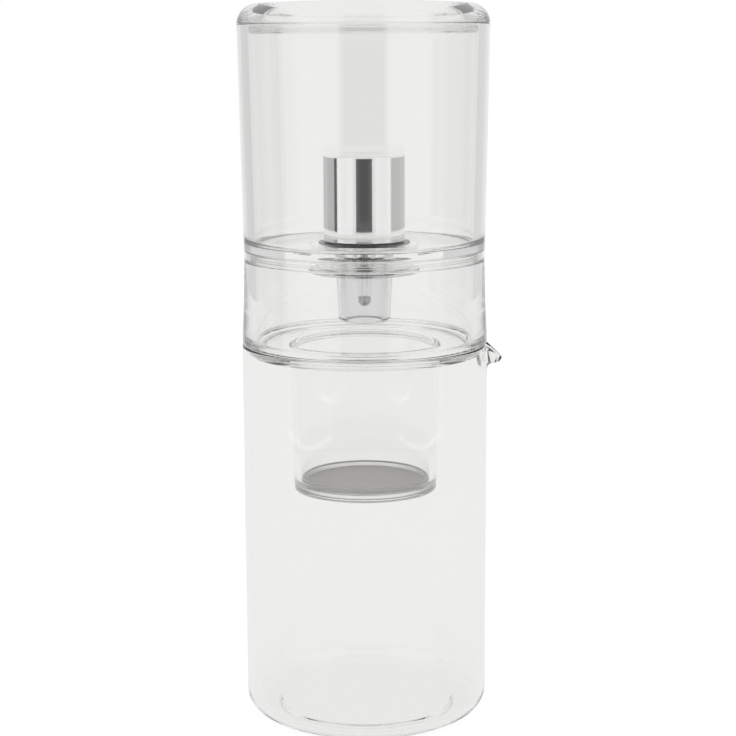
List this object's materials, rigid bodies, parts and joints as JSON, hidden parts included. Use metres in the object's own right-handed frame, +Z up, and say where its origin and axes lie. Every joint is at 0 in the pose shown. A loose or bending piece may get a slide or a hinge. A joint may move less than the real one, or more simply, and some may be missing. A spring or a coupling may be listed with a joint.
{
  "type": "cold brew coffee maker",
  "caption": "Clear stacked cold drip coffee maker: lidded water tank with a steel needle-valve knob, brew chamber with a hanging filter cup, and a spouted glass carafe.",
  "frame": {"origin": "on the stack's axis, at the carafe's flat underside", "axes": "+Z up the axis, +X towards the carafe's pouring spout"},
  "size_m": [0.1173, 0.111, 0.3213],
  "materials": {
    "carafe_glass": "clear blown borosilicate glass, fire polished",
    "clear_plastic": "clear injection-moulded plastic, high gloss",
    "clear_silicone": "translucent silicone",
    "filter_silicone": "translucent silicone, satin",
    "gasket_silicone": "dark grey silicone, matt",
    "filter_frame": "translucent moulded plastic, satin",
    "filter_mesh": "fine woven stainless mesh",
    "satin_steel": "turned stainless steel",
    "polished_steel": "polished stainless steel",
    "hub_plastic": "moulded plastic"
  },
  "bodies": {
    "carafe": {"glass_carafe": "carafe_glass"},
    "brewer": {"brew_chamber": "clear_plastic", "carafe_ring": "clear_silicone", "chamber_ring": "clear_silicone"},
    "filter": {"filter_rim": "filter_frame", "filter_mesh": "filter_mesh", "filter_gasket": "filter_silicone"},
    "tank": {"water_tank": "clear_plastic", "top_gasket": "gasket_silicone", "bottom_gasket": "gasket_silicone", "valve_body": "clear_plastic", "drip_nozzle": "clear_plastic", "drip_tip": "satin_steel", "valve_seat": "gasket_silicone"},
    "needle": {"needle_stem": "satin_steel", "stem_o_rings": "gasket_silicone", "retaining_clip": "satin_steel"},
    "knob": {"knob_hub": "hub_plastic", "knob_cap": "polished_steel"},
    "lid": {"lid": "clear_plastic", "lid_seal": "clear_silicone"}
  },
  "joints": [
    {"name": "brewer_lift", "type": "slide", "parent": "carafe", "child": "brewer", "axis": [0, 0, 1], "range_m": [0, 0.1]},
    {"name": "filter_lift", "type": "slide", "parent": "brewer", "child": "filter", "axis": [0, 0, 1], "range_m": [0, 0.06]},
    {"name": "tank_lift", "type": "slide", "parent": "brewer", "child": "tank", "axis": [0, 0, 1], "range_m": [0, 0.06]},
    {"name": "needle_rise", "type": "slide", "parent": "tank", "child": "needle", "axis": [0, 0, 1], "range_m": [0, 0.00125]},
    {"name": "knob_turn", "type": "hinge", "parent": "needle", "child": "knob", "pos_m": [0, 0, 0.236], "axis": [0, 0, 1], "range_deg": [0, 300]},
    {"name": "lid_lift", "type": "slide", "parent": "tank", "child": "lid", "axis": [0, 0, 1], "range_m": [0, 0.04]}
  ],
  "couplings": [
    {"joint": "needle_rise", "follows": "knob_turn", "m_per_rad": 0.00023873}
  ]
}
